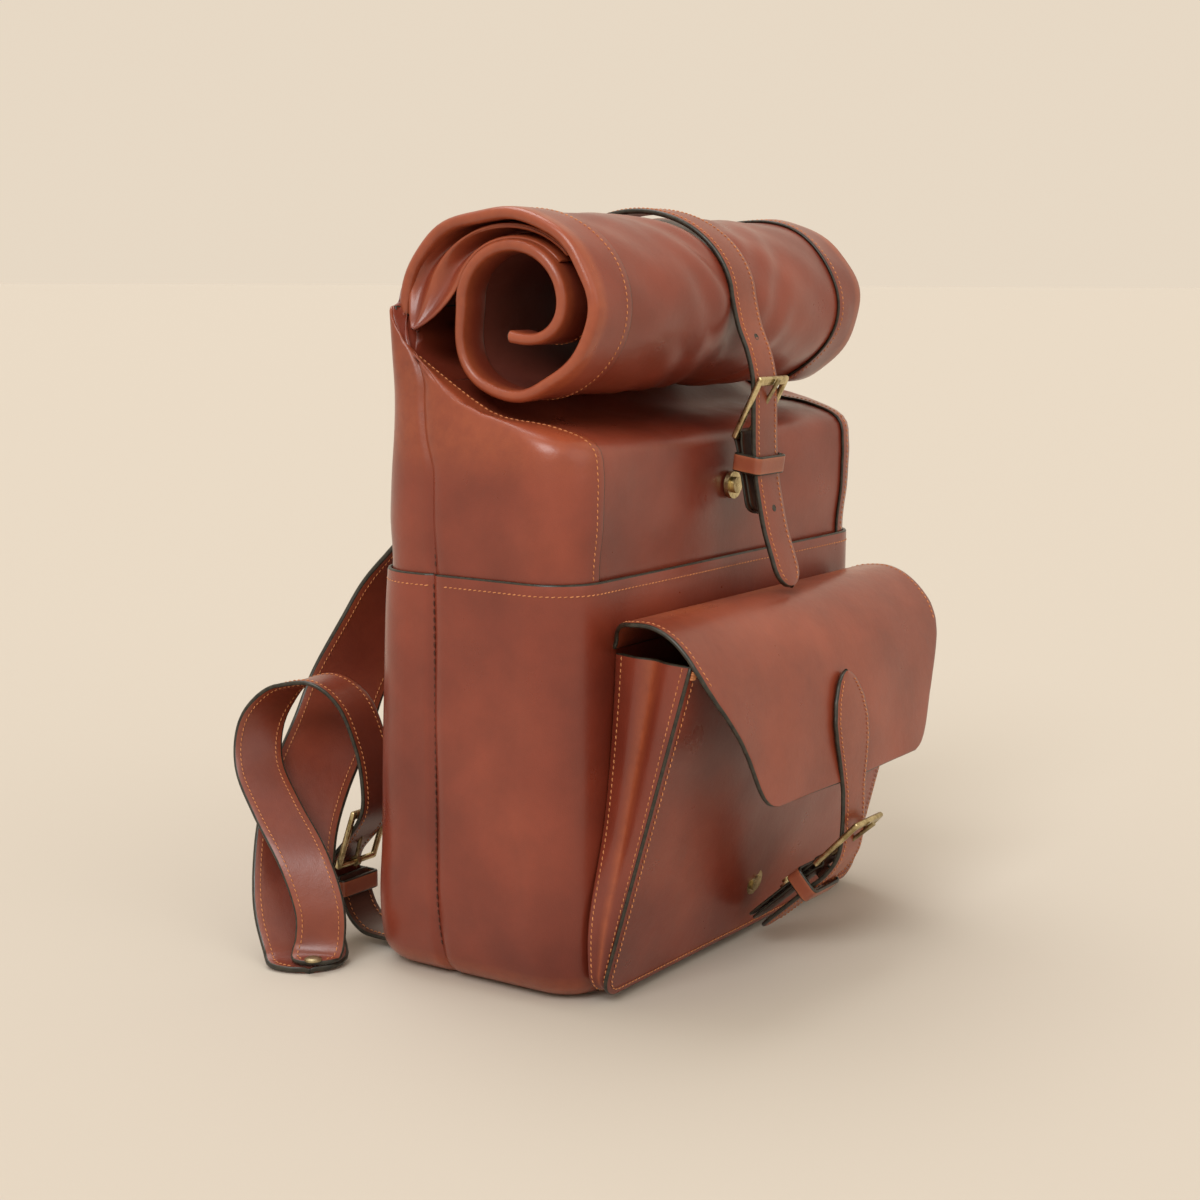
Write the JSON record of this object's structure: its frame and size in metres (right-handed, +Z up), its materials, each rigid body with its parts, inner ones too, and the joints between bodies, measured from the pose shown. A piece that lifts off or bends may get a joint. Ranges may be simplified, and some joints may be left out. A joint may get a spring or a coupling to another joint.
{
  "type": "leather roll-top backpack",
  "caption": "Leather backpack with a rolled top held by a buckled strap, a wedge-shaped front pocket with a flap, and two adjustable shoulder straps.",
  "frame": {"origin": "centre of the flat underside, on the surface that the bag stands on", "axes": "+Z up; +X to the right when looking at the bag along +Y; the pocket faces -Y and the shoulder straps are on the +Y side"},
  "size_m": [0.42, 0.3431, 0.4341],
  "materials": {
    "body_leather": "smooth waxed cognac leather",
    "strap_leather": "smooth cognac strap leather with dark painted edges",
    "antique_brass": "antiqued brass, softly polished",
    "lining_cloth": "plain woven cotton",
    "stiffener_board": "pressed fibre board"
  },
  "bodies": {
    "body": {"lower_front_panel": "body_leather", "lower_back_panel": "body_leather", "base_panel": "body_leather", "base_stiffener": "stiffener_board", "upper_front_panel": "body_leather", "upper_back_panel": "body_leather", "upper_left_front_side": "body_leather", "upper_left_back_side": "body_leather", "upper_right_front_side": "body_leather", "upper_right_back_side": "body_leather", "lining": "lining_cloth", "laptop_sleeve": "body_leather", "slip_pocket": "lining_cloth", "back_yoke": "strap_leather", "closure_snap_socket": "antique_brass", "pocket_front": "body_leather", "pocket_gusset": "body_leather", "pocket_flap_root": "body_leather", "pocket_snap_socket": "antique_brass", "left_strap_root": "strap_leather", "right_strap_root": "strap_leather"},
    "roll": {"roll_back_layer": "body_leather", "roll_front_layer": "body_leather", "closure_anchor": "strap_leather"},
    "closure": {"closure_strap": "strap_leather", "closure_buckle_frame": "antique_brass", "closure_tab": "strap_leather", "closure_keeper": "strap_leather", "closure_snap_stud": "antique_brass"},
    "closure_prong": {"closure_prong": "antique_brass"},
    "flap": {"pocket_flap": "body_leather", "pocket_strap": "strap_leather", "pocket_buckle_frame": "antique_brass", "pocket_tab": "strap_leather", "pocket_keeper": "strap_leather", "pocket_snap_stud": "antique_brass"},
    "pocket_prong": {"pocket_prong": "antique_brass"},
    "handle": {"grab_handle": "strap_leather"},
    "left_strap": {"left_shoulder_strap": "strap_leather", "left_adjusting_strap": "strap_leather", "left_strap_rivet": "antique_brass", "left_buckle_frame": "antique_brass", "left_base_tab": "strap_leather", "left_keeper": "strap_leather"},
    "left_prong": {"left_prong": "antique_brass"},
    "right_strap": {"right_shoulder_strap": "strap_leather", "right_adjusting_strap": "strap_leather", "right_strap_rivet": "antique_brass", "right_buckle_frame": "antique_brass", "right_base_tab": "strap_leather", "right_keeper": "strap_leather"},
    "right_prong": {"right_prong": "antique_brass"},
    "closure_tail": {"closure_tail": "strap_leather"}
  },
  "joints": [
    {"name": "roll_lift", "type": "hinge", "parent": "body", "child": "roll", "pos_m": [0, 0.0485, 0.38], "axis": [-1, 0, 0], "range_deg": [0, 70]},
    {"name": "closure_lift", "type": "hinge", "parent": "roll", "child": "closure", "pos_m": [0, 0.0144, 0.428], "axis": [-1, 0, 0], "range_deg": [0, 90]},
    {"name": "closure_tail_bend", "type": "hinge", "parent": "closure", "child": "closure_tail", "pos_m": [0, -0.1028, 0.2762], "axis": [-1, 0, 0], "range_deg": [0, 56]},
    {"name": "closure_prong_swing", "type": "hinge", "parent": "closure", "child": "closure_prong", "pos_m": [0, -0.088, 0.304], "axis": [1, 0, 0], "range_deg": [0, 10]},
    {"name": "flap_lift", "type": "hinge", "parent": "body", "child": "flap", "pos_m": [0, -0.098, 0.213], "axis": [-1, 0, 0], "range_deg": [0, 70]},
    {"name": "pocket_prong_swing", "type": "hinge", "parent": "flap", "child": "pocket_prong", "pos_m": [0, -0.146, 0.06], "axis": [1, 0, 0], "range_deg": [0, 10]},
    {"name": "handle_lift", "type": "hinge", "parent": "body", "child": "handle", "pos_m": [0, 0.057, 0.344], "axis": [1, 0, 0], "range_deg": [0, 100]},
    {"name": "left_strap_swing", "type": "hinge", "parent": "body", "child": "left_strap", "pos_m": [-0.124, 0.082, 0.0065], "axis": [-0.2792, 0.0276, -0.9598], "range_deg": [0, 25]},
    {"name": "left_prong_swing", "type": "hinge", "parent": "left_strap", "child": "left_prong", "pos_m": [-0.124, 0.1085, 0.046], "axis": [-1, 0, 0], "range_deg": [0, 10]},
    {"name": "right_strap_swing", "type": "hinge", "parent": "body", "child": "right_strap", "pos_m": [0.124, 0.082, 0.0065], "axis": [-0.2792, -0.0276, 0.9598], "range_deg": [0, 25]},
    {"name": "right_prong_swing", "type": "hinge", "parent": "right_strap", "child": "right_prong", "pos_m": [0.124, 0.1085, 0.046], "axis": [-1, 0, 0], "range_deg": [0, 10]}
  ],
  "couplings": [
    {"joint": "closure_tail_bend", "follows": "flap_lift", "ratio": 0.8}
  ]
}
